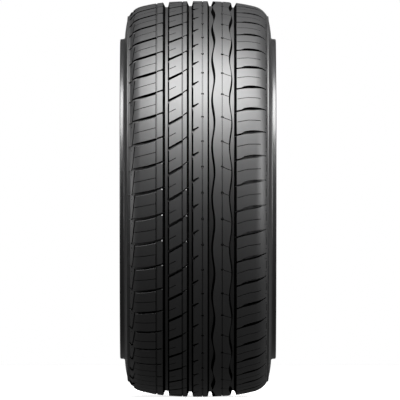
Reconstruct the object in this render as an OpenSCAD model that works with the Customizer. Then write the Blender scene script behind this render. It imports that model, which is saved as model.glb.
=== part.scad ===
/* [Size] */
// Outer diameter over the middle of the tread
outer_d = 661.1; // [650:0.1:680]
// Section width over the two rim guards
section_w = 260; // [258:0.5:268]
// Diameter of the seat that grips the rim
seat_d = 487.4; // [484:0.1:490]
// Distance between the outer faces of the two beads
bead_span = 228.6; // [224:0.1:232]

/* [Casing] */
// Thickness through the middle of the tread, grooves not counted off
crown_wall = 17; // [15:0.5:22]
// Radius of the crown over its middle
crown_r = 800; // [600:10:1200]
// Radius of the crown towards each shoulder
crown_side_r = 260; // [230:5:300]
// Half width of the middle arc of the crown
crown_mid_half = 45; // [38:1:50]
// Half width at which the crown turns into the shoulder
crown_half = 95; // [93:0.5:96]
// Radius of each shoulder
shoulder_r = 32; // [30:0.5:34]
// Width of the ledge that runs round under each shoulder
ledge_w = 2; // [1:0.1:2.4]
// Radius of the bulge of each sidewall
sidewall_r = 190; // [150:5:300]
// Thickness of each sidewall over its guard
sidewall_wall = 9.5; // [7:0.5:12]
// Radius of the liner under the tread
liner_r = 485; // [420:5:600]
// Radius of the liner inside each shoulder
liner_shoulder_r = 27; // [24:0.5:30]

/* [Beads] */
// Width of the base of each bead
bead_w = 21; // [18:0.5:23]
// Radius of the heel of each bead
heel_r = 6.5; // [5:0.5:7.5]
// Rounding of the toe of each bead
toe_r = 1.5; // [1:0.1:2]
// Radius of the hollow that takes the flange of the rim
flange_r = 9.5; // [8.5:0.1:10]
// Height of that hollow over the seat
flange_h = 17.8; // [17:0.1:18.5]
// Rounding of the nose of each rim guard
guard_r = 2.4; // [2:0.1:2.8]

/* [Main grooves] */
// Depth of the grooves that run round the tread
groove_depth = 8.2; // [6:0.1:9]
// Middle of the first groove across the tread
groove_1_at = -53.2; // [-55:0.1:-51]
// Middle of the second groove across the tread
groove_2_at = -13.2; // [-15:0.1:-11]
// Middle of the third groove across the tread
groove_3_at = 21.3; // [20:0.1:23]
// Middle of the fourth groove across the tread
groove_4_at = 58.6; // [57:0.1:60]
// Width of the first two grooves at the surface
groove_w = 10; // [8:0.1:11]
// Mean width of the two wavy grooves at the surface
wavy_w = 10.2; // [9:0.1:11]
// Half height of the wave of the fourth rib
wave = 2; // [1:0.1:2.5]
// Slant of the steeper groove walls
wall_slant = 11; // [6:0.5:14]
// Slant of the flatter groove walls, which face away from the middle
flat_wall_slant = 20; // [15:0.5:24]

/* [Tread pattern] */
// Number of equal pitches round the tread, an even number
pitches = 48; // [44:2:52]
// Depth of the cross grooves in the shoulders
cross_depth = 7; // [5:0.1:8]
// Depth of the cross grooves and notches of the second and third ribs
rib_cross_depth = 6; // [4:0.1:8]
// Depth of the sipes
sipe_depth = 5; // [3:0.1:7]
// Width of the sipes
sipe_w = 0.8; // [0.6:0.1:1.2]
// Depth of the recesses outside the blocks of the left shoulder
recess_depth = 1.7; // [1:0.1:2]

/* [Hidden] */

// Radii of the tread and of the bead seats
outer_r = outer_d / 2;
seat_r = seat_d / 2;

// One pitch as an angle and as a length round the tread
pitch_angle = 360 / pitches;
pitch_l = PI * outer_d / pitches;

// Places in the section are written [across, radius], and angles turn from the top outwards.
// An arc leaves out its first point where it carries on from another.
function along(a) = [sin(a), cos(a)];
function arc(c, r, from, to, steps, first = 1) =
    [for (i = [first:steps]) c + r * along(from + (to - from) * i / steps)];

// Centres of the arcs of the crown, the shoulder and the sidewall, each tangent to the one before
crown_c = [0, outer_r - crown_r];
crown_mid_end = asin(crown_mid_half / crown_r);
crown_side_c = crown_c + (crown_r - crown_side_r) * along(crown_mid_end);
crown_end = asin((crown_half - crown_side_c.x) / crown_side_r);
shoulder_c = crown_side_c + (crown_side_r - shoulder_r) * along(crown_end);
shoulder_end = 78;
sidewall_c = shoulder_c + (shoulder_r - sidewall_r) * along(shoulder_end);

// The ledge stands out of the shoulder and ends in a sharp corner
ledge_at = 62;
ledge_corner = shoulder_c + shoulder_r * along(ledge_at) + [ledge_w, -ledge_w / 2];

// The rim guard: a round nose over the flange hollow, with a fillet up to the sidewall
guard_lift = 1;
guard_fillet_r = 5;
guard_c = [section_w / 2 - guard_r, seat_r + flange_h + guard_lift + guard_r];
fillet_y = guard_c.y + guard_r + guard_fillet_r;
fillet_x = sidewall_c.x + sqrt(pow(sidewall_r + guard_fillet_r, 2) - pow(fillet_y - sidewall_c.y, 2));
fillet_c = [fillet_x, fillet_y];
sidewall_end = atan2(fillet_x - sidewall_c.x, fillet_y - sidewall_c.y);

// The bead: flange hollow, heel and toe
flange_c = [bead_span / 2 + flange_r, seat_r + flange_h - flange_r];
heel_c = [bead_span / 2 - heel_r, seat_r + heel_r];
toe_c = [bead_span / 2 - bead_w + toe_r, seat_r + toe_r];

// The liner: an arc under the tread, one inside the shoulder, and one down to the flank of the bead
liner_c = [0, outer_r - crown_wall - liner_r];
liner_side = sidewall_c.x + sidewall_r * sin(sidewall_end) - sidewall_wall;
liner_shoulder_x = liner_side - liner_shoulder_r;
liner_shoulder_y = liner_c.y + sqrt(pow(liner_r - liner_shoulder_r, 2) - pow(liner_shoulder_x, 2));
liner_shoulder_c = [liner_shoulder_x, liner_shoulder_y];
liner_end = asin(liner_shoulder_x / (liner_r - liner_shoulder_r));
flank_r = 20;
flank_angle = 50;
flank_turn = 90 - flank_angle;
flank_foot = [toe_c.x - toe_r, toe_c.y + 1];
flank_x = liner_side - flank_r * (1 - cos(flank_turn));
flank_y = flank_foot.y + (flank_x - flank_foot.x) * tan(flank_angle) + flank_r * sin(flank_turn);
flank_c = [liner_side - flank_r, flank_y];

// The crown and shoulder on the right
crown_line = concat(
    arc(crown_c, crown_r, 0, crown_mid_end, 2, first = 0),
    arc(crown_side_c, crown_side_r, crown_mid_end, crown_end, 3),
    arc(shoulder_c, shoulder_r, crown_end, ledge_at, 4),
    [ledge_corner]
);

// The sidewall and rim guard on the right
side_line = concat(
    arc(sidewall_c, sidewall_r, shoulder_end, sidewall_end, 3, first = 0),
    arc(fillet_c, guard_fillet_r, sidewall_end + 180, 180, 4),
    arc(guard_c, guard_r, 0, 180, 8)
);

// The bead on the right, from its hollow to its toe
bead_line = concat(
    arc(flange_c, flange_r, 0, -90, 6, first = 0),
    arc(heel_c, heel_r, 90, 180, 5, first = 0),
    arc(toe_c, toe_r, 180, 270, 3, first = 0)
);

// The inside on the right, from the toe back to the middle of the crown
liner_line = concat(
    [flank_foot],
    arc(flank_c, flank_r, 90 + flank_turn, 90, 4, first = 0),
    arc(liner_shoulder_c, liner_shoulder_r, 90, liner_end, 8, first = 0),
    arc(liner_c, liner_r, liner_end, 0, 6)
);

// Closes an outline of the right half, whose ends lie on the middle plane, with its mirror image
function both_sides(half) = concat(half, [for (i = [len(half) - 2:-1:1]) [-half[i].x, half[i].y]]);

// Radius of the tread's surface at a place across it
function crown_at(x) = abs(x) < crown_mid_half
    ? crown_c.y + sqrt(pow(crown_r, 2) - pow(x, 2))
    : crown_side_c.y + sqrt(pow(crown_side_r, 2) - pow(abs(x) - crown_side_c.x, 2));

// Turns a closed outline of the section round the axis
module turned(outline) {
    rotate_extrude($fn = 180)
        polygon([for (p = outline) [p.y, p.x]]);
}

// The casing before its tread is cut
module casing() {
    turned(both_sides(concat(crown_line, side_line, bead_line, liner_line)));
}

// How far the cutters stand out over the tread
over = 12;

// A place under the tread at a depth, and one on or under the arc of a shoulder
function under(x, depth) = [x, crown_at(x) - depth];
function on_shoulder(side, a, depth = 0) =
    let (r = shoulder_r - depth)
    [side * (shoulder_c.x + r * sin(a)), shoulder_c.y + r * cos(a)];

// Carries a floor line on past its last point
function carried_on(line, by) =
    let (end = line[len(line) - 1], step = end - line[len(line) - 2])
    concat(line, [end + by * step / norm(step)]);

// Cuts a flat shape, drawn as seen from outside with x across the tread and y up round it.
// It is cut square to the tread at the height y, down to a line of [across, radius] places.
module cut(y, floor_line) {
    first = floor_line[0];
    last = floor_line[len(floor_line) - 1];
    top = outer_r + over;
    rotate([0, 0, -y * 180 / (PI * outer_r)])
        rotate(a = 180, v = [1, 0, 1])
            intersection() {
                translate([0, -y, outer_r - 4 * over])
                    linear_extrude(5 * over)
                        children();
                rotate([90, 0, 0])
                    linear_extrude(pitch_l, center = true)
                        polygon(concat(floor_line, [[last.x, top], [first.x, top]]));
            }
}

// Repeats its children round the tread, once in each pitch or once in each two
module each_pitch(step = 1) {
    for (i = [0:step:pitches - 1])
        rotate([0, 0, i * pitch_angle])
            children();
}

// The outline of a lane along stations that are each [across, round, width]
function lane(stations) = concat(
    [for (s = stations) [s[0], s[1] + s[2] / 2]],
    [for (i = [len(stations) - 1:-1:0]) [stations[i][0], stations[i][1] - stations[i][2] / 2]]
);

// A groove round the tread with flat slanted walls
module round_groove(at, width, depth, left_slant, right_slant, left_spare = 0, right_spare = 0) {
    left = at - width / 2 - left_spare;
    right = at + width / 2 + right_spare;
    surface = crown_at(at);
    turned([
        [left + depth * tan(left_slant), surface - depth],
        [right - depth * tan(right_slant), surface - depth],
        [right + over * tan(right_slant), surface + over],
        [left - over * tan(left_slant), surface + over]
    ]);
}

// The wave of the fourth rib, which repeats every two pitches
wave_at = 1.8;
wave_steps = 10;
function wave_shift(y) = -wave * cos(180 * (y - wave_at) / pitch_l);

// Cuts with a wavy wall on one side, and that wall leans outwards as the others do
module wavy_cut(at, side) {
    deepest = wave_at + (side > 0 ? pitch_l : 0);
    back = -side * wavy_w;
    wall = [
        for (i = [0:wave_steps])
            let (y = deepest + pitch_l * (2 * i / wave_steps - 1))
                [side * wavy_w / 2 + wave_shift(y), y]
    ];
    first = wall[0].y;
    last = wall[wave_steps].y;
    rotate(a = 180, v = [1, 0, 1])
        translate([at, 0, crown_at(at)])
            rotate([0, side * wall_slant, 0])
                translate([0, 0, -3 * over])
                    linear_extrude(4 * over)
                        polygon(concat(wall, [[back, last], [back, first]]));
}

// A groove round the tread with one straight wall and one wavy wall
module wavy_groove(at, side, straight_slant) {
    intersection() {
        each_pitch(2)
            wavy_cut(at, side);
        if (side > 0)
            round_groove(at, wavy_w, groove_depth, straight_slant, 0, right_spare = 2 * wave + over / 2);
        else
            round_groove(at, wavy_w, groove_depth, 0, straight_slant, left_spare = 2 * wave + over / 2);
    }
}

// Edges of the ribs beside the grooves
rib_1_end = groove_1_at - groove_w / 2;
rib_2_start = groove_1_at + groove_w / 2;
rib_2_end = groove_2_at - groove_w / 2;
rib_3_start = groove_2_at + groove_w / 2;
rib_4_end = groove_4_at - wavy_w / 2 + wave;
rib_5_start = groove_4_at + wavy_w / 2;

// Places across the tread where the cross grooves narrow
neck_1_at = rib_1_end - 12.4;
neck_2_at = rib_2_end - 7.8;

// Middle of the fourth rib
rib_4_at = 40.1;

// Depth of the slits of the right shoulder
slit_depth = 1.2;

// How far a cross groove reaches into the groove round the tread that it opens into
run_in = 1.5;

// Cross grooves of the left shoulder: wide outside their neck and narrow inside it
module left_cross_grooves() {
    inner = rib_1_end + run_in;
    mouth = [[-115, 5.4, 6.4], [-92, 8.9, 4.9], [neck_1_at, 14, 4.1]];
    neck = [[neck_1_at - 0.5, 14.9, 2.2], [inner, 19.6, 2.2]];
    floor_line = [under(inner + 1, cross_depth), under(-92, cross_depth), on_shoulder(-1, ledge_at - 3)];
    each_pitch()
        cut(11, carried_on(floor_line, over)) {
            polygon(lane(mouth));
            polygon(lane(neck));
        }
}

// Cross grooves of the right shoulder, each a leaf on a stalk
module right_cross_grooves() {
    inner = rib_5_start - run_in;
    stalk = [[inner, -22.1, 1.7], [74.8, -18.5, 1.7]];
    leaf = [[74.3, -18.4, 2], [83.5, -15, 4.3], [96, -13.1, 4.4], [112.8, -10.2, 0.8]];
    floor_line = [under(inner - 1, cross_depth), under(92, cross_depth), on_shoulder(1, ledge_at)];
    each_pitch()
        cut(-15, carried_on(floor_line, over)) {
            polygon(lane(stalk));
            polygon(lane(leaf));
        }
}

// Cross grooves of the second rib, wide as far as their neck and narrow beyond it
module rib_2_cross_grooves() {
    wide = [[rib_2_start - run_in, -3.3, 3.6], [neck_2_at, 10.4, 2.9]];
    neck = [[neck_2_at - 0.5, 11.5, 1.3], [rib_2_end + run_in, 19.4, 1.2]];
    floor_line = [under(rib_2_start - 2 * run_in, rib_cross_depth), under(rib_2_end + 2 * run_in, rib_cross_depth)];
    each_pitch()
        cut(8, floor_line) {
            polygon(lane(wide));
            polygon(lane(neck));
        }
}

// Notches in the left edge of the third rib
module rib_3_notches() {
    notch = [[rib_3_start - run_in, -14.6, 3.6], [rib_3_start + 9, -8.2, 1]];
    floor_line = [under(rib_3_start - 2 * run_in, rib_cross_depth), under(rib_3_start + 12, rib_cross_depth)];
    each_pitch()
        cut(-11, floor_line)
            polygon(lane(notch));
}

// Sipes: thin cuts across the ribs
module sipes() {
    left = [[-106, -15.2, sipe_w], [neck_1_at - 2, -8.4, sipe_w]];
    second = [[rib_2_start - run_in, -25, sipe_w], [rib_2_start + 12, -18, sipe_w]];
    fourth = [[rib_4_at, 10, sipe_w], [rib_4_end + run_in, 3.2, sipe_w]];
    right = [[rib_5_start + 1.5, 2, sipe_w], [83.5, 7, sipe_w], [103.6, 8.7, sipe_w]];
    each_pitch() {
        cut(-12, [under(neck_1_at, sipe_depth), under(-92, sipe_depth), on_shoulder(-1, 40)])
            polygon(lane(left));
        cut(-21, [under(rib_2_start - 2 * run_in, sipe_depth), under(rib_2_end, sipe_depth)])
            polygon(lane(second));
        cut(6, [under(rib_4_at - 1, sipe_depth), under(rib_4_end + 2 * run_in, sipe_depth)])
            polygon(lane(fourth));
        cut(6, [under(rib_5_start, sipe_depth), under(86, sipe_depth), on_shoulder(1, 40)])
            polygon(lane(right));
    }
}

// Recesses between the blocks of the left shoulder and the ledge, each with a slanted inner wall
module left_recesses() {
    floor_line = [for (a = [32, 47, ledge_at]) on_shoulder(-1, a, recess_depth)];
    each_pitch()
        cut(-15.5, floor_line)
            polygon([[-106, 5], [-110.4, -36], [-116, -36], [-116, 5]]);
}

// Slits that run round the right shoulder, one in each pitch
module right_slits() {
    each_pitch()
        cut(11, [on_shoulder(1, 53, slit_depth), on_shoulder(1, 58, slit_depth)])
            polygon(lane([[113 - sipe_w / 2, 11.2, 14], [113 + sipe_w / 2, 11.2, 14]]));
}

// The tyre stands upright, its axis along Y
module tyre() {
    color([0.13, 0.13, 0.135])
        rotate([-90, 0, 0])
            difference() {
                casing();
                round_groove(groove_1_at, groove_w, groove_depth, flat_wall_slant, wall_slant);
                round_groove(groove_2_at, groove_w, groove_depth, flat_wall_slant, wall_slant);
                wavy_groove(groove_3_at, 1, wall_slant);
                wavy_groove(groove_4_at, -1, flat_wall_slant);
                left_cross_grooves();
                right_cross_grooves();
                rib_2_cross_grooves();
                rib_3_notches();
                sipes();
                left_recesses();
                right_slits();
            }
}

tyre();
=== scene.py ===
"""A car tyre that stands upright on its tread, dressed around its packed construction model.

The tread is modelled flat, as two pitches of a straight sheet. Its grooves and sipes are cut there, then
the sheet is wrapped round the section of the casing and repeated round the axle. The sidewalls, beads and
liner are one turned profile that is welded to both edges of the tread.
"""

import logging
import math
from collections.abc import Sequence
from dataclasses import dataclass
from enum import Enum

import bmesh
import bpy
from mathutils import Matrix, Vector


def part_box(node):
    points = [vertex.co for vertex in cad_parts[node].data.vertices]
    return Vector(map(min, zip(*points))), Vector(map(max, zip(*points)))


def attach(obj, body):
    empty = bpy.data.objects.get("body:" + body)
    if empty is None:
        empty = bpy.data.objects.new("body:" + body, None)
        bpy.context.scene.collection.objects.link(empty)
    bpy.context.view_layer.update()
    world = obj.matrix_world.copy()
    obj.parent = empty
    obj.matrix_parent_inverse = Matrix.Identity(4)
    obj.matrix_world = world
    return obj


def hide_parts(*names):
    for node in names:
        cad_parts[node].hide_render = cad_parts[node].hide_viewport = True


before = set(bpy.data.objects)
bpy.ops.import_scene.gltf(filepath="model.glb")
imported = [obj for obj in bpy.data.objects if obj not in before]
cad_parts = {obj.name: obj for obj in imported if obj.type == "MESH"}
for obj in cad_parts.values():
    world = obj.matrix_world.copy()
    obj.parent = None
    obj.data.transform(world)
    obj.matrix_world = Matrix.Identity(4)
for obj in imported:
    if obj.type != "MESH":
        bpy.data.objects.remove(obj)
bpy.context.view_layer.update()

log = logging.getLogger("tyre")

# One millimetre in the metres of the frame
MM = 0.001
# Decimals to which two corners of a cut are told apart
PLACE_DIGITS = 5
# Corner layer that keeps how the normals lean in the section
LEAN = "lean"

Point = tuple[float, float]
Station = tuple[float, float, float]
Colour = tuple[float, float, float, float]

WHITE: Colour = (1.0, 1.0, 1.0, 1.0)


class Mark(Enum):
    """The faces in the grooves whose colour stands in for light or shade, each marked in a face layer of this
    name: painted shade on steep walls, painted light on deep floors and on sloping lips, which are also
    smoother.
    """

    WALL = "wall"
    FLOOR = "floor"
    PAINTED_LIGHT_LIP = "lip"


def polar(centre: Point, radius: float, angle: float) -> Point:
    """Place on an arc of the section.

    Args:
        centre: Centre of the arc as (across, radius of the tyre), in millimetres.
        radius: Radius of the arc.
        angle: Angle from the outward direction towards the right, in radians.

    Returns:
        The place as (across, radius of the tyre).
    """
    return centre[0] + radius * math.sin(angle), centre[1] + radius * math.cos(angle)


def arc(centre: Point, radius: float, start: float, end: float, steps: int) -> list[Point]:
    """Points along an arc of the section, both ends included.

    Args:
        centre: Centre of the arc.
        radius: Radius of the arc.
        start: Angle of the first point, in degrees.
        end: Angle of the last point, in degrees.
        steps: Number of equal steps between them.

    Returns:
        The points in order.
    """
    angles = [math.radians(start + (end - start) * i / steps) for i in range(steps + 1)]
    return [polar(centre, radius, angle) for angle in angles]


@dataclass
class Section:
    """The section of the casing on its right half, in millimetres, the left half being its mirror image."""

    outer_r: float
    half_width: float
    seat_r: float = 243.7
    crown_r: float = 800.0
    crown_side_r: float = 260.0
    crown_mid_half: float = 45.0
    crown_half: float = 95.0
    shoulder_r: float = 32.0
    shoulder_end: float = 78.0
    ledge_at: float = 62.0
    ledge_w: float = 2.3
    ledge_drop: float = 0.6
    sidewall_r: float = 190.0
    sidewall_wall: float = 9.5
    crown_wall: float = 17.0
    bead_half_span: float = 114.3
    bead_w: float = 21.0
    heel_r: float = 6.5
    toe_r: float = 1.5
    toe_lift: float = 1.0
    flange_r: float = 9.5
    flange_h: float = 17.8
    guard_r: float = 2.4
    guard_lift: float = 1.0
    guard_fillet_r: float = 2.5
    liner_r: float = 485.0
    liner_shoulder_r: float = 27.0
    flank_r: float = 20.0
    flank_angle: float = 50.0

    def __post_init__(self) -> None:
        """Works out the centres of the tangent arcs of the crown, and where along the surface they end."""
        self.mid_end = math.asin(self.crown_mid_half / self.crown_r)
        self.crown_c = (0.0, self.outer_r - self.crown_r)
        self.side_c = polar(self.crown_c, self.crown_r - self.crown_side_r, self.mid_end)
        self.side_end = math.asin((self.crown_half - self.side_c[0]) / self.crown_side_r)
        self.shoulder_c = polar(self.side_c, self.crown_side_r - self.shoulder_r, self.side_end)
        self.mid_l = self.crown_r * self.mid_end
        self.side_l = self.mid_l + self.crown_side_r * (self.side_end - self.mid_end)
        self.tread_half_l = self.side_l + self.shoulder_r * (math.radians(self.ledge_at) - self.side_end)

    def surface(self, along: float) -> tuple[Point, float]:
        """Place on the tread's surface.

        Args:
            along: Length along the surface from the middle of the crown, positive to the right.

        Returns:
            The place as (across, radius of the tyre), and the angle of the surface's normal there.
        """
        side, length = math.copysign(1.0, along), abs(along)
        if length <= self.mid_l:
            centre, radius, angle = self.crown_c, self.crown_r, length / self.crown_r
        elif length <= self.side_l:
            centre, radius = self.side_c, self.crown_side_r
            angle = self.mid_end + (length - self.mid_l) / self.crown_side_r
        else:
            centre, radius = self.shoulder_c, self.shoulder_r
            angle = self.side_end + (length - self.side_l) / self.shoulder_r
        across, height = polar(centre, radius, angle)
        return (side * across, height), side * angle

    def along(self, across: float) -> float:
        """Length along the surface to a place on the tread.

        Args:
            across: Distance from the middle plane, positive to the right, up to the tread's edge.

        Returns:
            The length along the surface from the middle of the crown.
        """
        side, x = math.copysign(1.0, across), abs(across)
        if x <= self.crown_mid_half:
            return side * self.crown_r * math.asin(x / self.crown_r)
        if x <= self.crown_half:
            turn = math.asin((x - self.side_c[0]) / self.crown_side_r) - self.mid_end
            return side * (self.mid_l + self.crown_side_r * turn)
        turn = math.asin((x - self.shoulder_c[0]) / self.shoulder_r) - self.side_end
        return side * (self.side_l + self.shoulder_r * turn)

    def side_line(self) -> list[Point]:
        """The outline from the right edge of the tread down the sidewall, round the bead and up to the liner.

        Returns:
            The points from the edge of the tread to the middle of the liner.
        """
        edge = polar(self.shoulder_c, self.shoulder_r, math.radians(self.ledge_at))
        ledge = (edge[0] + self.ledge_w, edge[1] - self.ledge_drop)
        turn = math.radians(self.shoulder_end)
        wall_c = polar(self.shoulder_c, self.shoulder_r - self.sidewall_r, turn)
        guard_y = self.seat_r + self.flange_h + self.guard_lift + self.guard_r
        guard_c = (self.half_width - self.guard_r, guard_y)
        fillet_y = guard_y + self.guard_r + self.guard_fillet_r
        reach = self.sidewall_r + self.guard_fillet_r
        fillet_c = (wall_c[0] + math.sqrt(reach**2 - (fillet_y - wall_c[1]) ** 2), fillet_y)
        wall_end = math.degrees(math.atan2(fillet_c[0] - wall_c[0], fillet_c[1] - wall_c[1]))
        flange_c = (self.bead_half_span + self.flange_r, self.seat_r + self.flange_h - self.flange_r)
        heel_c = (self.bead_half_span - self.heel_r, self.seat_r + self.heel_r)
        toe_c = (self.bead_half_span - self.bead_w + self.toe_r, self.seat_r + self.toe_r)
        liner_c = (0.0, self.outer_r - self.crown_wall - self.liner_r)
        liner_side = wall_c[0] + self.sidewall_r * math.sin(math.radians(wall_end)) - self.sidewall_wall
        inner_x = liner_side - self.liner_shoulder_r
        inner_reach = self.liner_r - self.liner_shoulder_r
        inner_c = (inner_x, liner_c[1] + math.sqrt(inner_reach**2 - inner_x**2))
        liner_end = math.degrees(math.asin(inner_x / inner_reach))
        foot = (toe_c[0] - self.toe_r, toe_c[1] + self.toe_lift)
        flank_turn = math.radians(90.0 - self.flank_angle)
        flank_w = liner_side - self.flank_r * (1.0 - math.cos(flank_turn)) - foot[0]
        flank_h = flank_w * math.tan(math.radians(self.flank_angle))
        flank_c = (liner_side - self.flank_r, foot[1] + flank_h + self.flank_r * math.sin(flank_turn))
        return [
            ledge,
            *arc(wall_c, self.sidewall_r, self.shoulder_end, wall_end, steps=4),
            *arc(fillet_c, self.guard_fillet_r, wall_end + 180.0, 180.0, steps=4)[1:],
            *arc(guard_c, self.guard_r, 0.0, 180.0, steps=6)[1:],
            *arc(flange_c, self.flange_r, 0.0, -90.0, steps=5),
            *arc(heel_c, self.heel_r, 90.0, 180.0, steps=4),
            *arc(toe_c, self.toe_r, 180.0, 270.0, steps=2),
            foot,
            *arc(flank_c, self.flank_r, 180.0 - self.flank_angle, 90.0, steps=3),
            *arc(inner_c, self.liner_shoulder_r, 90.0, liner_end, steps=5),
            *arc(liner_c, self.liner_r, liner_end, 0.0, steps=4)[1:],
        ]


def edge_shift(edge: Sequence[Point], by: float, side: float, ends: float) -> list[Point]:
    """Moves an edge of a cut sideways, and its two ends outwards along it.

    Args:
        edge: Points of the edge along the run of the cut.
        by: How far the edge moves to the given side.
        side: 1 for the left of the run and -1 for its right.
        ends: How far each end moves on along the run.

    Returns:
        The moved points.
    """
    moved = []
    last = len(edge) - 1
    for i, point in enumerate(edge):
        before, after = Vector(edge[max(i - 1, 0)]), Vector(edge[min(i + 1, last)])
        run = (after - before).normalized()
        step = Vector((-run.y, run.x)) * side * by
        if i in (0, last):
            step += run * (ends if i == last else -ends)
        moved.append(tuple(Vector(point) + step))
    return moved


@dataclass
class Cut:
    """A groove, sipe or recess between two edges that are drawn on the flat tread, both along its run.

    The walls lean outwards from the floor, and the top corner of each wall has a small chamfer. The solid
    that cuts it rises a little over the surface.
    """

    left: list[Point]
    right: list[Point]
    depths: tuple[float, ...]
    left_slant: float = 1.0
    right_slant: float = 1.0
    chamfer: float = 0.35
    rise: float = 0.6

    def floor(self) -> tuple[float, ...]:
        """Depth at each station, one depth standing for all of them."""
        return self.depths * len(self.left) if len(self.depths) == 1 else self.depths

    def level(self, height: float) -> tuple[list[Point], list[Point]]:
        """The two edges as they are at one level.

        Args:
            height: The level over the surface, which is negative below it.

        Returns:
            The left and the right edge.
        """
        if height >= -self.chamfer:
            left_by = right_by = self.chamfer + height
        else:
            drop = -self.chamfer - height
            left_by = -drop * math.tan(math.radians(self.left_slant))
            right_by = -drop * math.tan(math.radians(self.right_slant))
        ends = max(left_by, right_by)
        return edge_shift(self.left, left_by, 1.0, ends), edge_shift(self.right, right_by, -1.0, ends)

    def add_to(self, bm: bmesh.types.BMesh, shift: float) -> None:
        """Adds the cut as a closed solid.

        Args:
            bm: Mesh that takes the solid.
            shift: How far the solid is moved round the tread.
        """
        count = len(self.left)
        floor = self.floor()
        grid = bmesh.ops.create_grid(bm, x_segments=count - 1, y_segments=1, size=1.0)["verts"]
        order = {vert: i for i, vert in enumerate(grid)}
        for vert, i in order.items():
            depth = floor[i % count]
            place = self.level(-depth)[i // count][i % count]
            vert.co = (place[0], place[1] + shift, -depth)
        faces = list({face for vert in grid for face in vert.link_faces})
        inner = []
        for height in (-self.chamfer, self.rise):
            edges = self.level(height)
            below = {vert.co.to_tuple(PLACE_DIGITS): i for vert, i in order.items()}
            grown = bmesh.ops.extrude_face_region(bm, geom=faces)["geom"]
            bmesh.ops.delete(bm, geom=inner, context="FACES")
            faces = inner = [item for item in grown if isinstance(item, bmesh.types.BMFace)]
            verts = [item for item in grown if isinstance(item, bmesh.types.BMVert)]
            order = {vert: below[vert.co.to_tuple(PLACE_DIGITS)] for vert in verts}
            for vert, i in order.items():
                place = edges[i // count][i % count]
                vert.co = (place[0], place[1] + shift, height)


def mesh_object(name: str, bm: bmesh.types.BMesh) -> bpy.types.Object:
    """Makes an object of a mesh in work, and frees the latter.

    Args:
        name: Name of the object.
        bm: The finished mesh.

    Returns:
        The object, linked to the scene.
    """
    mesh = bpy.data.meshes.new(name)
    bm.to_mesh(mesh)
    bm.free()
    piece = bpy.data.objects.new(name, mesh)
    bpy.context.scene.collection.objects.link(piece)
    return piece


def cut_away(body: bpy.types.Object, cuts: Sequence[Cut], shifts: Sequence[float]) -> None:
    """Takes cuts that don't overlap one another out of a body.

    Args:
        body: The body, whose mesh is replaced.
        cuts: The cuts of one pitch.
        shifts: How far each copy of them stands round the tread.
    """
    bm = bmesh.new()
    for shift in shifts:
        for cut in cuts:
            cut.add_to(bm, shift)
    bmesh.ops.recalc_face_normals(bm, faces=bm.faces)
    tool = mesh_object("cuts", bm)
    modifier = body.modifiers.new("cuts", "BOOLEAN")
    modifier.operation = "DIFFERENCE"
    modifier.solver = "EXACT"
    modifier.object = tool
    evaluated = body.evaluated_get(bpy.context.evaluated_depsgraph_get())
    old, body.data = body.data, bpy.data.meshes.new_from_object(evaluated)
    body.modifiers.clear()
    bpy.data.meshes.remove(old)
    bpy.data.meshes.remove(tool.data)


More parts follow.
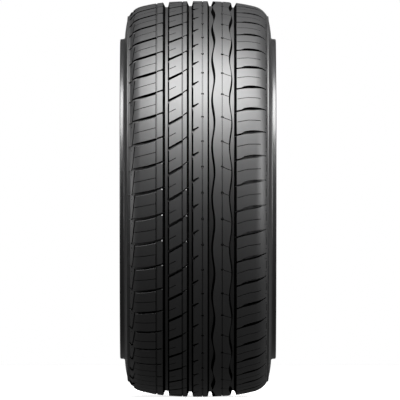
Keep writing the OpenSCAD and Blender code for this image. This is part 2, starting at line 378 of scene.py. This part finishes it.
@dataclass
class TreadPattern:
    """The pattern of the tread, seen from outside with x across it and y up round it, in millimetres.

    It repeats at every pitch, and cuts that run all round go on past both ends of the sheet.
    """

    section: Section
    pitch: float
    length: float
    over: float = 6.0
    groove_depth: float = 8.2
    groove_chamfer: float = 0.5
    steep_slant: float = 18.0
    flat_slant: float = 22.0
    wave: float = 2.0
    wave_at: float = 1.8
    wave_steps: int = 20
    cross_depth: float = 7.0
    rib_cross_depth: float = 6.0
    cut_chamfer: float = 0.15
    mouth_top: tuple[Point, ...] = (
        (-110.6, 8.2), (-105.9, 9.5), (-100.3, 10.2), (-91.9, 11.65), (-83.5, 13.2), (-69.4, 16.8),
    )
    mouth_bottom: tuple[Point, ...] = (
        (-105.9, 3.6), (-100.3, 4.6), (-91.9, 6.0), (-83.5, 7.75), (-69.4, 11.75),
    )
    mouth_end: Point = (-110.6, 5.2)
    mouth_depths: tuple[float, ...] = (1.7, 2.2, 3.8, 5.2, 6.2, 6.2)
    mouth_slant: float = 5.0
    mouth_chamfer: float = 0.2
    lip_w: float = 0.9
    lip_inside: float = 0.6
    lip_depth: float = 1.6
    lip_undercut: float = 5.0
    recess_depth: float = 1.7
    recess_outer_slant: float = 50.0
    recess_inner_slant: float = 5.0
    zigzag_depth: float = 3.5
    hole_depth: float = 3.1
    hole_chamfer: float = 0.2
    slit_depth: float = 1.2
    pin_x: float = 112.7
    pin_ys: tuple[float, ...] = (-2.0, 22.6)
    pin_w: float = 1.4
    pin_depth: float = 1.5
    sipe_depth: float = 5.0
    sipe_w: float = 0.8
    line_depth: float = 1.3
    lines: tuple[Station, ...] = ((-69.1, 2.2, 28.0), (-26.0, 1.9, 28.0), (7.4, 1.6, 16.0), (40.1, 1.3, 12.0))
    fine_chamfer: float = 0.1
    facet_chamfer: float = 0.05
    dimple_r: float = 2.1
    dimple_depth: float = 3.0
    dimple_slant: float = 14.0
    dimple_places: tuple[Point, ...] = ((7.5, 10.0), (40.1, 10.0))

    def flat_line(self, *points: Point) -> list[Point]:
        """Points of the pattern as places on the flat tread."""
        return [(self.section.along(x), y) for x, y in points]

    def slot(
        self,
        *stations: Station,
        depths: tuple[float, ...],
        slant: float = 1.0,
        chamfer: float = 0.35,
    ) -> Cut:
        """A cut along a lane of the given widths, both of whose walls lean alike.

        Args:
            stations: Places along the middle as (x, y, width), the width being measured square to the lane.
            depths: Depth at each station, or one depth for all of them.
            slant: Lean of the walls, in degrees.
            chamfer: Size of the chamfer along the walls.

        Returns:
            The cut, its edges on the flat tread.
        """
        middle = self.flat_line(*[(x, y) for x, y, _ in stations])
        last = len(middle) - 1
        left, right = [], []
        for i, (point, station) in enumerate(zip(middle, stations)):
            run = (Vector(middle[min(i + 1, last)]) - Vector(middle[max(i - 1, 0)])).normalized()
            side = Vector((-run.y, run.x)) * station[2] / 2
            left.append(tuple(Vector(point) + side))
            right.append(tuple(Vector(point) - side))
        return Cut(left, right, depths, slant, slant, chamfer)

    def main_grooves(self) -> list[Cut]:
        """The four grooves that run round the tread, the wave of whose edges repeats every second pitch.

        Returns:
            The grooves from left to right.
        """
        ys = [self.length * i / self.wave_steps for i in range(self.wave_steps + 1)]
        ys = [-self.over, *ys, self.length + self.over]
        shift = [-self.wave * math.cos(math.pi * (y - self.wave_at) / self.pitch) for y in ys]
        steep, flat = self.steep_slant, self.flat_slant
        edges = [
            (-58.2, -48.2, 0, 0, flat, steep),
            (-18.2, -8.2, 0, 0, flat, steep),
            (16.2, 26.4, 0, 1, steep, steep),
            (53.5, 63.7, 1, 0, steep, flat),
        ]
        cuts = []
        for left, right, left_waves, right_waves, left_slant, right_slant in edges:
            left_edge = self.flat_line(*[(left + left_waves * by, y) for by, y in zip(shift, ys)])
            right_edge = self.flat_line(*[(right + right_waves * by, y) for by, y in zip(shift, ys)])
            if not left_waves and not right_waves:
                left_edge, right_edge = left_edge[:: len(ys) - 1], right_edge[:: len(ys) - 1]
            depths = (self.groove_depth,)
            cuts.append(Cut(left_edge, right_edge, depths, left_slant, right_slant, self.groove_chamfer))
        return cuts

    def cross_grooves(self) -> list[Cut]:
        """The wide parts of the shoulders' and the second rib's cross grooves, and the third rib's notches.

        Returns:
            The mouth of the left shoulder, the two of the ribs and the leaf of the right shoulder.
        """
        full, rib = self.cross_depth, self.rib_cross_depth
        mouth = Cut(
            self.flat_line(*self.mouth_top),
            self.flat_line(self.mouth_end, *[(x, y + self.lip_inside) for x, y in self.mouth_bottom]),
            self.mouth_depths,
            self.mouth_slant,
            self.mouth_slant,
            self.mouth_chamfer,
        )
        wide = self.slot((-50.5, -3.8, 4.8), (-26.0, 10.5, 4.0), depths=(rib,), chamfer=self.cut_chamfer)
        notch = self.slot((-10.5, -15.6, 4.3), (0.8, -8.3, 1.8), depths=(rib,), chamfer=self.cut_chamfer)
        leaf = self.slot(
            (72.8, -18.9, 2.8),
            (77.8, -16.5, 5.0),
            (86.0, -14.7, 5.9),
            (92.5, -13.7, 5.8),
            (100.2, -12.5, 4.3),
            (107.5, -11.1, 2.4),
            (113.0, -10.1, 1.3),
            depths=(full, full, full, full, 5.0, 3.0, 1.6),
            chamfer=self.cut_chamfer,
        )
        return [mouth, wide, notch, leaf]

    def necks(self) -> list[Cut]:
        """The narrow parts of the cross grooves, and the zigzag beside the left shoulder's blocks.

        Returns:
            The zigzag, then the necks from left to right.
        """
        full, rib = self.cross_depth, self.rib_cross_depth
        zigzag = ((-105.0, 5.6, 3.4), (-109.5, -34.6, 3.4))
        return [
            self.slot(*zigzag, depths=(self.zigzag_depth,), chamfer=self.fine_chamfer),
            self.slot((-71.2, 14.6, 2.1), (-56.0, 20.0, 2.1), depths=(full,)),
            self.slot((-27.6, 10.6, 1.2), (-16.0, 20.0, 1.1), depths=(rib,)),
            self.slot((61.5, -22.2, 2.1), (75.4, -18.2, 2.2), depths=(full,)),
        ]

    def sipes(self) -> list[Cut]:
        """The thin cuts across the ribs.

        Returns:
            The sipes from left to right.
        """
        w = self.sipe_w
        lanes = [
            ((-105.4, -15.1, w), (-86.9, -11.6, w), (-70.0, -8.0, w)),
            ((-49.6, -25.2, w), (-36.8, -18.2, w)),
            ((41.9, 9.3, w), (58.0, 2.9, w)),
            ((65.2, 2.0, w), (83.5, 7.0, w), (103.6, 8.7, w)),
        ]
        return [self.slot(*lane, depths=(self.sipe_depth,), chamfer=self.cut_chamfer) for lane in lanes]

    def recesses(self) -> list[Cut]:
        """The recesses outside the left shoulder's blocks, and the slits and pin holes of the right shoulder.

        Returns:
            The recess, the slit and the pin holes.
        """
        recess = Cut(
            self.flat_line((-115.0, -35.2), (-115.0, 7.4)),
            self.flat_line((-109.4, -35.0), (-104.9, 5.0)),
            (self.recess_depth,),
            self.recess_outer_slant,
            self.recess_inner_slant,
            self.fine_chamfer,
        )
        slit = self.slot(
            (113.2, 4.2, 0.9), (113.2, 18.3, 0.9), depths=(self.slit_depth,), chamfer=self.cut_chamfer
        )
        x, w, depths = self.pin_x, self.pin_w, (self.pin_depth,)
        holes = [
            self.slot((x, y - w / 2, w), (x, y + w / 2, w), depths=depths, chamfer=self.hole_chamfer)
            for y in self.pin_ys
        ]
        return [recess, slit, *holes]

    def fine_lines(self) -> list[Cut]:
        """The fine lines round the ribs, which are given as (x, width, slant).

        Returns:
            The lines from left to right.
        """
        return [
            self.slot(
                (x, -self.over, width),
                (x, self.length + self.over, width),
                depths=(self.line_depth,),
                slant=slant,
                chamfer=self.fine_chamfer,
            )
            for x, width, slant in self.lines
        ]

    def facets(self) -> list[Cut]:
        """The small facets that face up beside the necks and notches, and the holes of the recesses.

        Returns:
            The facets of the two necks and the notch, and the hole.
        """
        hole = (self.hole_depth,)
        return [
            self.slot((-59.7, 15.4, 1.8), (-59.3, 18.0, 2.9), depths=(0.15, 2.1), chamfer=self.facet_chamfer),
            self.slot((-19.6, 14.8, 1.4), (-19.3, 17.3, 2.4), depths=(0.15, 2.0), chamfer=self.facet_chamfer),
            self.slot((-8.4, -21.8, 0.8), (-6.7, -14.4, 4.0), depths=(0.8,), chamfer=self.fine_chamfer),
            self.slot((-111.2, -1.9, 1.7), (-111.2, -0.1, 1.7), depths=hole, chamfer=self.hole_chamfer),
        ]

    def lips(self) -> list[Cut]:
        """The sloping lower lips of the left shoulder's mouths, which run down to the wall of the mouth.

        Returns:
            The lip, cut open towards the mouth.
        """
        inner = self.flat_line(*[(x, y + self.lip_w) for x, y in self.mouth_bottom])
        outer = self.flat_line(*[(x, y + self.lip_inside - self.lip_w) for x, y in self.mouth_bottom])
        slant = math.degrees(math.atan2(self.lip_w, self.lip_depth))
        return [Cut(inner, outer, (self.lip_depth,), -self.lip_undercut, slant, self.facet_chamfer)]

    def dimples(self) -> list[Cut]:
        """The round dimples of the third and fourth ribs, each drawn as a lane of eight corners.

        Returns:
            The dimples of one pitch.
        """
        r, c = self.dimple_r, self.dimple_r * math.tan(math.pi / 8)
        return [
            self.slot(
                (x, y - r, 2 * c),
                (x, y - c, 2 * r),
                (x, y + c, 2 * r),
                (x, y + r, 2 * c),
                depths=(self.dimple_depth,),
                slant=self.dimple_slant,
                chamfer=self.fine_chamfer,
            )
            for x, y in self.dimple_places
        ]


@dataclass
class Tyre:
    """The whole tyre as one closed skin of moulded rubber, in millimetres until it is scaled to the frame."""

    section: Section
    pitches: int = 48
    sheet_pitches: int = 2
    sheet_thickness: float = 14.0
    rows: tuple[float, ...] = (30.0, 45.0, 58.0, 70.0, 80.0, 90.0, 95.0, 100.0, 104.5, 108.5, 112.0)
    steps_per_pitch: int = 3
    near: float = 0.001
    weld: float = 0.0005
    seam: float = 0.004
    sharp_angle: float = 32.0
    # Faces steeper than this get painted shade in the material.
    wall_below: float = 0.72
    # Floors deeper than this, outside the middle ribs, get painted light.
    floor_below: float = 1.9
    floor_from: float = -59.5
    floor_to: float = 76.0
    # Sloping lips that reach deep enough get painted light and smoother rubber.
    lip_above: float = 0.4
    lip_below: float = 0.93
    lip_faces_up: float = 0.3
    lip_reaches: float = 1.0

    def __post_init__(self) -> None:
        """Works out the length of one pitch and of the sheet, and draws the pattern to them."""
        self.pitch = 2 * math.pi * self.section.outer_r / self.pitches
        self.length = self.sheet_pitches * self.pitch
        self.pattern = TreadPattern(self.section, self.pitch, self.length)

    def flat_sheet(self) -> bpy.types.Object:
        """The tread of two pitches as a straight slab with its grooves cut, one group of cuts after another.

        Returns:
            The slab, its top at z = 0.
        """
        bm = bmesh.new()
        bmesh.ops.create_cube(bm, size=1.0)
        size = Vector((2 * self.section.tread_half_l, self.length, self.sheet_thickness))
        bmesh.ops.scale(bm, vec=size, verts=bm.verts)
        bmesh.ops.translate(bm, vec=(0.0, size.y / 2, -size.z / 2), verts=bm.verts)
        slab = mesh_object("flat_tread", bm)
        pattern = self.pattern
        once = [0.0]
        each_pitch = [i * self.pitch for i in range(self.sheet_pitches + 1)]
        groups = (
            (pattern.main_grooves(), once),
            (pattern.recesses(), each_pitch),
            (pattern.cross_grooves(), each_pitch),
            (pattern.necks(), each_pitch),
            (pattern.sipes(), each_pitch),
            (pattern.facets(), each_pitch),
            (pattern.lips(), each_pitch),
            (pattern.fine_lines(), once),
            (pattern.dimples(), each_pitch),
        )
        for cuts, shifts in groups:
            cut_away(slab, cuts, shifts)
        return slab

    def is_hidden(self, face: bmesh.types.BMFace) -> bool:
        """Whether a face is one of the slab's ends, sides or bottom.

        Args:
            face: A face of the slab.

        Returns:
            True for a face that isn't part of the outer skin.
        """
        places = [vert.co for vert in face.verts]
        half = self.section.tread_half_l
        return (
            all(place.z < self.near - self.sheet_thickness for place in places)
            or all(place.y < self.near for place in places)
            or all(place.y > self.length - self.near for place in places)
            or all(abs(place.x) > half - self.near for place in places)
        )

    def divide(self, bm: bmesh.types.BMesh) -> None:
        """Leaves the outer skin of the slab only, and divides it finely enough to bend.

        Args:
            bm: The slab, which is changed.
        """
        bmesh.ops.delete(bm, geom=[face for face in bm.faces if self.is_hidden(face)], context="FACES")
        places = [0.0, *self.rows, *[-row for row in self.rows]]
        planes = [((self.section.along(x), 0.0, 0.0), (1.0, 0.0, 0.0)) for x in places]
        step, count = self.pitch / self.steps_per_pitch, self.sheet_pitches * self.steps_per_pitch
        planes += [((0.0, i * step, 0.0), (0.0, 1.0, 0.0)) for i in range(1, count)]
        for place, normal in planes:
            geom = [*bm.verts, *bm.edges, *bm.faces]
            bmesh.ops.bisect_plane(bm, geom=geom, dist=self.weld, plane_co=place, plane_no=normal)
        bmesh.ops.dissolve_degenerate(bm, dist=self.weld, edges=bm.edges)
        bmesh.ops.triangulate(bm, faces=bm.faces)

    def marks(self, face: bmesh.types.BMFace) -> list[Mark]:
        """What a face of the flat skin is marked as, for painted shade or painted light in the material.

        Args:
            face: The face, its normal up to date.

        Returns:
            The marks, none for open rubber.
        """
        normal, across = face.normal, face.calc_center_median().x
        heights = [vert.co.z for vert in face.verts]
        slopes = self.lip_above < normal.z < self.lip_below and normal.y > self.lip_faces_up
        marks = []
        # Sloping lips are marked for painted light, and for smoother rubber.
        if slopes and min(heights) < -self.lip_reaches:
            marks.append(Mark.PAINTED_LIGHT_LIP)
        # Steep faces are marked for painted shade.
        elif normal.z < self.wall_below:
            marks.append(Mark.WALL)
        # Deep floors away from the middle ribs are marked for painted light.
        if max(heights) < -self.floor_below and not self.floor_from < across < self.floor_to:
            marks.append(Mark.FLOOR)
        return marks

    def wrap(self, bm: bmesh.types.BMesh) -> None:
        """Marks the faces, bends the skin round the casing and keeps how each normal leans in the section.

        Args:
            bm: The flat skin, which is changed.
        """
        lean_of = bm.loops.layers.float_vector.new(LEAN)
        layer_of = {mark: bm.faces.layers.float.new(mark.value) for mark in Mark}
        bm.normal_update()
        for face in bm.faces:
            for mark in self.marks(face):
                face[layer_of[mark]] = 1.0
            normal = face.normal.copy()
            for loop in face.loops:
                _, angle = self.section.surface(loop.vert.co.x)
                sine, cosine = math.sin(angle), math.cos(angle)
                outward = normal.z * cosine - normal.x * sine
                loop[lean_of] = (outward, normal.z * sine + normal.x * cosine, normal.y)
        for vert in bm.verts:
            (across, radius), angle = self.section.surface(vert.co.x)
            turn = vert.co.y / self.section.outer_r
            radius += vert.co.z * math.cos(angle)
            across += vert.co.z * math.sin(angle)
            vert.co = (radius * math.cos(turn), across, radius * math.sin(turn))

    def add_casing(self, bm: bmesh.types.BMesh) -> None:
        """Adds the sidewalls, beads and liner as one turned profile from edge to edge of the tread.

        Args:
            bm: The mesh that holds the whole tread.
        """
        edge, _ = self.section.surface(self.section.tread_half_l)
        right = [edge, *self.section.side_line()]
        outline = right + [(-across, radius) for across, radius in right[-2::-1]]
        verts = [bm.verts.new((radius, across, 0.0)) for across, radius in outline]
        edges = [bm.edges.new(pair) for pair in zip(verts, verts[1:])]
        bmesh.ops.spin(
            bm,
            geom=[*verts, *edges],
            cent=(0.0, 0.0, 0.0),
            axis=(0.0, 1.0, 0.0),
            angle=2 * math.pi,
            steps=self.pitches * self.steps_per_pitch,
            use_merge=True,
        )

    def set_normals(self, mesh: bpy.types.Mesh) -> None:
        """Gives the tread the normals that its flat faces have after they are bent.

        Args:
            mesh: The finished mesh, with the leaning normals kept on its corners.
        """
        leans = mesh.attributes[LEAN].data
        normals = [Vector((0.0, 0.0, 0.0))] * len(mesh.loops)
        for i, loop in enumerate(mesh.loops):
            outward, across, round_about = leans[i].vector
            if outward or across or round_about:
                place = mesh.vertices[loop.vertex_index].co
                far = math.hypot(place.x, place.z)
                c, s = place.x / far, place.z / far
                normals[i] = Vector((outward * c - round_about * s, across, outward * s + round_about * c))
        mesh.attributes.remove(mesh.attributes[LEAN])
        mesh.normals_split_custom_set(normals)

    def build(self, name: str) -> bpy.types.Object:
        """Builds the tyre in metres, in the frame's place.

        Args:
            name: Name of the object.

        Returns:
            The finished object.
        """
        slab = self.flat_sheet()
        bm = bmesh.new()
        bm.from_mesh(slab.data)
        bpy.data.meshes.remove(slab.data)
        self.divide(bm)
        self.wrap(bm)
        copies = self.pitches // self.sheet_pitches
        bmesh.ops.spin(
            bm,
            geom=[*bm.verts, *bm.edges, *bm.faces],
            cent=(0.0, 0.0, 0.0),
            axis=(0.0, 1.0, 0.0),
            angle=2 * math.pi * (copies - 1) / copies,
            steps=copies - 1,
            use_duplicate=True,
        )
        self.add_casing(bm)
        bmesh.ops.remove_doubles(bm, verts=bm.verts, dist=self.seam)
        bmesh.ops.recalc_face_normals(bm, faces=bm.faces)
        bmesh.ops.scale(bm, vec=(MM, MM, MM), verts=bm.verts)
        open_edges = sum(not edge.is_manifold for edge in bm.edges)
        for edge in bm.edges:
            edge.smooth = edge.calc_face_angle(0.0) < math.radians(self.sharp_angle)
        for face in bm.faces:
            face.smooth = True
        piece = mesh_object(name, bm)
        self.set_normals(piece.data)
        log.info("%s: %d faces, %d open edges", name, len(piece.data.polygons), open_edges)
        return piece


class Wire:
    """A number in a material or the world, on which Python expressions build Math nodes."""

    def __init__(self, nodes: "Nodes", socket: bpy.types.NodeSocket) -> None:
        """Wraps an output socket."""
        self.nodes, self.socket = nodes, socket

    def math(self, operation: str, *values: "Wire | float") -> "Wire":
        """Adds a Math node.

        Args:
            operation: The node's operation.
            values: Its values in order.

        Returns:
            The result.
        """
        node = self.nodes.add("ShaderNodeMath", {"operation": operation}, dict(enumerate(values)))
        return Wire(self.nodes, node.outputs[0])

    def __add__(self, other: "Wire | float") -> "Wire":
        """Sum."""
        return self.math("ADD", self, other)

    def __radd__(self, other: float) -> "Wire":
        """Sum with a number before it."""
        return self.math("ADD", other, self)

    def __sub__(self, other: "Wire | float") -> "Wire":
        """Difference."""
        return self.math("SUBTRACT", self, other)

    def __rsub__(self, other: float) -> "Wire":
        """Difference from a number."""
        return self.math("SUBTRACT", other, self)

    def __mul__(self, other: "Wire | float") -> "Wire":
        """Product."""
        return self.math("MULTIPLY", self, other)

    def __rmul__(self, other: float) -> "Wire":
        """Product with a number before it."""
        return self.math("MULTIPLY", other, self)

    def __gt__(self, other: "Wire | float") -> "Wire":
        """1 where it is the greater, and 0 elsewhere."""
        return self.math("GREATER_THAN", self, other)

    def __lt__(self, other: "Wire | float") -> "Wire":
        """1 where it is the smaller, and 0 elsewhere."""
        return self.math("LESS_THAN", self, other)

    def __abs__(self) -> "Wire":
        """Its size without its sign."""
        return self.math("ABSOLUTE", self)

    def sine(self) -> "Wire":
        """Its sine, as an angle in radians."""
        return self.math("SINE", self)

    def at_least(self, other: "Wire | float") -> "Wire":
        """The greater of the two."""
        return self.math("MAXIMUM", self, other)


class Nodes:
    """The node tree of a material or of the world."""

    def __init__(self, tree: bpy.types.NodeTree) -> None:
        """Empties the tree."""
        self.tree = tree
        self.tree.nodes.clear()

    def add(
        self,
        kind: str,
        settings: dict[str, object] | None = None,
        values: dict[str | int, object] | None = None,
    ) -> bpy.types.Node:
        """Adds a node.

        Args:
            kind: The node's type.
            settings: Its settings, which are set before its sockets.
            values: What its input sockets hold, by name or number: a number, a colour, a Wire or a socket.

        Returns:
            The node.
        """
        node = self.tree.nodes.new(kind)
        for name, value in (settings or {}).items():
            setattr(node, name, value)
        for name, value in (values or {}).items():
            if isinstance(value, Wire):
                value = value.socket
            if isinstance(value, bpy.types.NodeSocket):
                self.tree.links.new(value, node.inputs[name])
            else:
                node.inputs[name].default_value = value
        return node

    def wire(self, node: bpy.types.Node, output: str | int = 0) -> Wire:
        """One output of a node, ready for expressions."""
        return Wire(self, node.outputs[output])


@dataclass(frozen=True)
class MouldedRubber:
    """New black rubber as it leaves the mould, its sizes in metres.

    It is satin with a fine grain and its sidewalls are turned in fine rings. Its steep groove walls are
    painted near black with no shine as painted shade, and its deep groove floors and sloping lips are painted
    lighter as painted light.
    """

    colour: Colour = (0.014, 0.014, 0.0145, 1.0)
    worn_colour: Colour = (0.019, 0.019, 0.0195, 1.0)
    # Painted light: lighter colour for deep groove floors and sloping lips.
    floor_colour: Colour = (0.05, 0.05, 0.051, 1.0)
    # Painted shade: near black for steep groove walls.
    painted_shade_wall_colour: Colour = (0.003, 0.003, 0.003, 1.0)
    tread_roughness: float = 0.47
    side_roughness: float = 0.42
    guard_roughness: float = 0.3
    lip_roughness: float = 0.3
    roughness_spread: float = 0.08
    ior: float = 1.6
    coat: float = 0.5
    coat_roughness: float = 0.5
    cloud_scale: float = 26.0
    cloud_detail: float = 4.0
    cloud_middle: float = 0.5
    grain_scale: float = 1400.0
    grain_detail: float = 2.0
    grain_height: float = 0.00004
    ring_spacing: float = 0.0016
    ring_height: float = 0.00003
    side_from: float = 0.1175
    side_radius: float = 0.304
    guard_from: float = 0.1235

    def noise(self, nodes: Nodes, place: bpy.types.NodeSocket, scale: float, detail: float) -> Wire:
        """Noise that keeps its place on the tyre.

        Args:
            nodes: Nodes of the material.
            place: The tyre's own coordinates.
            scale: Size of the noise, as its number of waves in a metre.
            detail: How much finer noise it holds.

        Returns:
            A number that lies round 0.5.
        """
        values = {"Vector": place, "Scale": scale, "Detail": detail}
        return nodes.wire(nodes.add("ShaderNodeTexNoise", values=values))

    def blend(
        self,
        nodes: Nodes,
        factor: Wire,
        first: Colour | bpy.types.NodeSocket,
        second: Colour,
    ) -> bpy.types.NodeSocket:
        """Mixes two colours.

        Args:
            nodes: Nodes of the material.
            factor: 0 for the first colour and 1 for the second.
            first: A colour or a socket that gives one.
            second: The other colour.

        Returns:
            The socket that gives the mixed colour.
        """
        values = {"Factor": factor, "A": first, "B": second}
        return nodes.add("ShaderNodeMix", {"data_type": "RGBA"}, values).outputs["Result"]

    def dress(self, piece: bpy.types.Object) -> None:
        """Gives the finish to a piece.

        Args:
            piece: The tyre.
        """
        material = bpy.data.materials.new("moulded_rubber")
        material.use_nodes = True
        nodes = Nodes(material.node_tree)
        place = nodes.add("ShaderNodeTexCoord").outputs["Object"]
        across = abs(nodes.wire(nodes.add("ShaderNodeSeparateXYZ", values={0: place}), "Y"))
        upright = nodes.add("ShaderNodeVectorMath", {"operation": "MULTIPLY"}, {0: place, 1: (1.0, 0.0, 1.0)})
        length = nodes.add("ShaderNodeVectorMath", {"operation": "LENGTH"}, {0: upright.outputs[0]})
        radius = nodes.wire(length, "Value")
        side = (across > self.side_from) * (radius < self.side_radius)
        guard = across > self.guard_from
        # Masks from the mesh: wall for painted shade, floor and lip for painted light.
        wall, floor, lip = (
            nodes.wire(nodes.add("ShaderNodeAttribute", {"attribute_name": mark.value}), "Fac")
            for mark in (Mark.WALL, Mark.FLOOR, Mark.PAINTED_LIGHT_LIP)
        )
        cloud = self.noise(nodes, place, self.cloud_scale, self.cloud_detail)
        grain = self.noise(nodes, place, self.grain_scale, self.grain_detail)
        rings = (radius * (2 * math.pi / self.ring_spacing)).sine() * side
        height = grain * self.grain_height + rings * self.ring_height
        bump = nodes.add("ShaderNodeBump", values={"Distance": 1.0, "Strength": 1.0, "Height": height})
        colour = self.blend(nodes, cloud, self.colour, self.worn_colour)
        # Painted light: deep groove floors and the sloping lips are made lighter than the rubber, standing in
        # for light that reaches into the grooves and catches on the lips.
        colour = self.blend(nodes, floor.at_least(lip), colour, self.floor_colour)
        smoother = side * (self.side_roughness - self.tread_roughness)
        smoother = smoother + guard * (self.guard_roughness - self.side_roughness)
        smoother = smoother + lip * (self.lip_roughness - self.tread_roughness)
        spread = (cloud - self.cloud_middle) * self.roughness_spread
        satin = nodes.add(
            "ShaderNodeBsdfPrincipled",
            values={
                "Base Color": colour,
                "Roughness": self.tread_roughness + smoother + spread,
                "Normal": bump.outputs["Normal"],
                "IOR": self.ior,
                "Coat Weight": self.coat,
                "Coat Roughness": self.coat_roughness,
            },
        )
        # Painted shade: steep groove walls are drawn near black, dull and without shine, standing in for the
        # shade inside the grooves.
        painted_shade_bsdf = nodes.add(
            "ShaderNodeBsdfPrincipled",
            values={"Base Color": self.painted_shade_wall_colour, "Roughness": 1.0, "Specular IOR Level": 0.0},
        )
        mixed = nodes.add("ShaderNodeMixShader", values={0: wall, 1: satin.outputs[0], 2: painted_shade_bsdf.outputs[0]})
        nodes.add("ShaderNodeOutputMaterial", values={"Surface": mixed.outputs[0]})
        piece.data.materials.append(material)


@dataclass(frozen=True)
class Lamp:
    """A soft rectangular lamp that looks at the tyre, its angles in degrees and its sizes in metres.

    The azimuth turns from the front towards the right, and the elevation from the floor up.
    """

    name: str
    azimuth: float
    elevation: float
    distance: float
    width: float
    height: float
    power: float

    def place(self) -> None:
        """Adds the lamp to the scene."""
        light = bpy.data.lights.new(self.name, "AREA")
        light.shape = "RECTANGLE"
        light.size, light.size_y, light.energy = self.width, self.height, self.power
        lamp = bpy.data.objects.new(self.name, light)
        az, el = math.radians(self.azimuth), math.radians(self.elevation)
        way = Vector((math.cos(el) * math.cos(az), math.cos(el) * math.sin(az), math.sin(el)))
        lamp.location = way * self.distance
        lamp.rotation_euler = way.to_track_quat("Z", "Y").to_euler()
        bpy.context.scene.collection.objects.link(lamp)


@dataclass
class Studio:
    """The white room, its lamps and the camera that looks square at the tread, in metres."""

    floor_z: float
    floor_size: float = 12.0
    floor_colour: Colour = (0.85, 0.85, 0.85, 1.0)
    floor_glow: float = 0.82
    floor_away: Colour = (0.02, 0.02, 0.02, 1.0)
    floor_away_glow: float = 0.065
    ambient: float = 0.04
    backdrop_from: float = -0.985
    camera_distance: float = 30.0
    frame_width: float = 0.6683
    aim_y: float = 0.0033
    aim_z: float = -0.0018
    sensor_width: float = 36.0
    clip_end: float = 100.0
    lamps: tuple[Lamp, ...] = (
        Lamp("key", 2.0, 66.0, 3.0, 2.2, 2.2, 240.0),
        Lamp("front", 0.0, 34.0, 3.0, 1.0, 0.8, 14.0),
        Lamp("upper_left", -66.0, 46.0, 3.0, 1.0, 0.9, 5.0),
        Lamp("upper_right", 62.0, 48.0, 3.0, 1.0, 0.9, 38.0),
        Lamp("left_fill", -86.0, 2.0, 3.0, 0.8, 1.6, 26.0),
        Lamp("right_fill", 66.0, 14.0, 3.0, 1.6, 2.5, 68.0),
    )

    def room(self) -> None:
        """Makes the world white where the camera sees it, and behind the tyre in mirrors and glass too."""
        world = bpy.data.worlds.new("white_room")
        world.use_nodes = True
        bpy.context.scene.world = world
        nodes = Nodes(world.node_tree)
        path = nodes.add("ShaderNodeLightPath")
        camera = nodes.wire(path, "Is Camera Ray")
        mirrored = nodes.wire(path, "Is Glossy Ray").at_least(nodes.wire(path, "Is Transmission Ray"))
        way = nodes.add("ShaderNodeTexCoord").outputs["Generated"]
        behind = nodes.wire(nodes.add("ShaderNodeSeparateXYZ", values={0: way}), "X") < self.backdrop_from
        seen = camera.at_least(mirrored * behind)
        strength = self.ambient + seen * (1.0 - self.ambient)
        back = nodes.add("ShaderNodeBackground", values={"Color": WHITE, "Strength": strength})
        nodes.add("ShaderNodeOutputWorld", values={"Surface": back.outputs[0]})

    def floor(self) -> None:
        """Lays the floor, which takes the tyre's shadow: pale to the camera and dark to the tyre."""
        bm = bmesh.new()
        bmesh.ops.create_grid(bm, x_segments=1, y_segments=1, size=self.floor_size / 2)
        bmesh.ops.translate(bm, vec=(0.0, 0.0, self.floor_z), verts=bm.verts)
        floor = mesh_object("floor", bm)
        material = bpy.data.materials.new("pale_floor")
        material.use_nodes = True
        nodes = Nodes(material.node_tree)
        camera = nodes.wire(nodes.add("ShaderNodeLightPath"), "Is Camera Ray")
        away, seen = (self.floor_away, self.floor_away_glow), (self.floor_colour, self.floor_glow)
        looks = []
        for colour, strength in (away, seen):
            lit = nodes.add("ShaderNodeBsdfDiffuse", values={"Color": colour})
            glow = nodes.add("ShaderNodeEmission", values={"Color": WHITE, "Strength": strength})
            look = nodes.add("ShaderNodeAddShader", values={0: lit.outputs[0], 1: glow.outputs[0]})
            looks.append(look.outputs[0])
        mixed = nodes.add("ShaderNodeMixShader", values={0: camera, 1: looks[0], 2: looks[1]})
        nodes.add("ShaderNodeOutputMaterial", values={"Surface": mixed.outputs[0]})
        floor.data.materials.append(material)

    def camera(self) -> None:
        """Sets the camera square to the tread, far enough away that the picture is nearly parallel."""
        data = bpy.data.cameras.new("camera")
        data.sensor_width = self.sensor_width
        data.lens = self.sensor_width * self.camera_distance / self.frame_width
        data.clip_end = self.clip_end
        camera = bpy.data.objects.new("camera", data)
        camera.location = (self.camera_distance, self.aim_y, self.aim_z)
        camera.rotation_euler = (math.radians(90.0), 0.0, math.radians(90.0))
        bpy.context.scene.collection.objects.link(camera)
        bpy.context.scene.camera = camera

    def build(self) -> None:
        """Puts up the whole studio."""
        self.room()
        self.floor()
        for lamp in self.lamps:
            lamp.place()
        self.camera()
        bpy.context.scene.view_settings.view_transform = "Standard"


def main() -> None:
    """Builds the tyre and its studio."""
    logging.basicConfig(level=logging.INFO, format="%(name)s: %(message)s")
    low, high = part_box("tyre")
    section = Section(outer_r=high.x / MM, half_width=high.y / MM)
    tyre = Tyre(section).build("tyre_moulded")
    MouldedRubber().dress(tyre)
    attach(tyre, "root")
    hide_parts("tyre")
    Studio(floor_z=low.z).build()


if __name__ == "__main__":
    main()
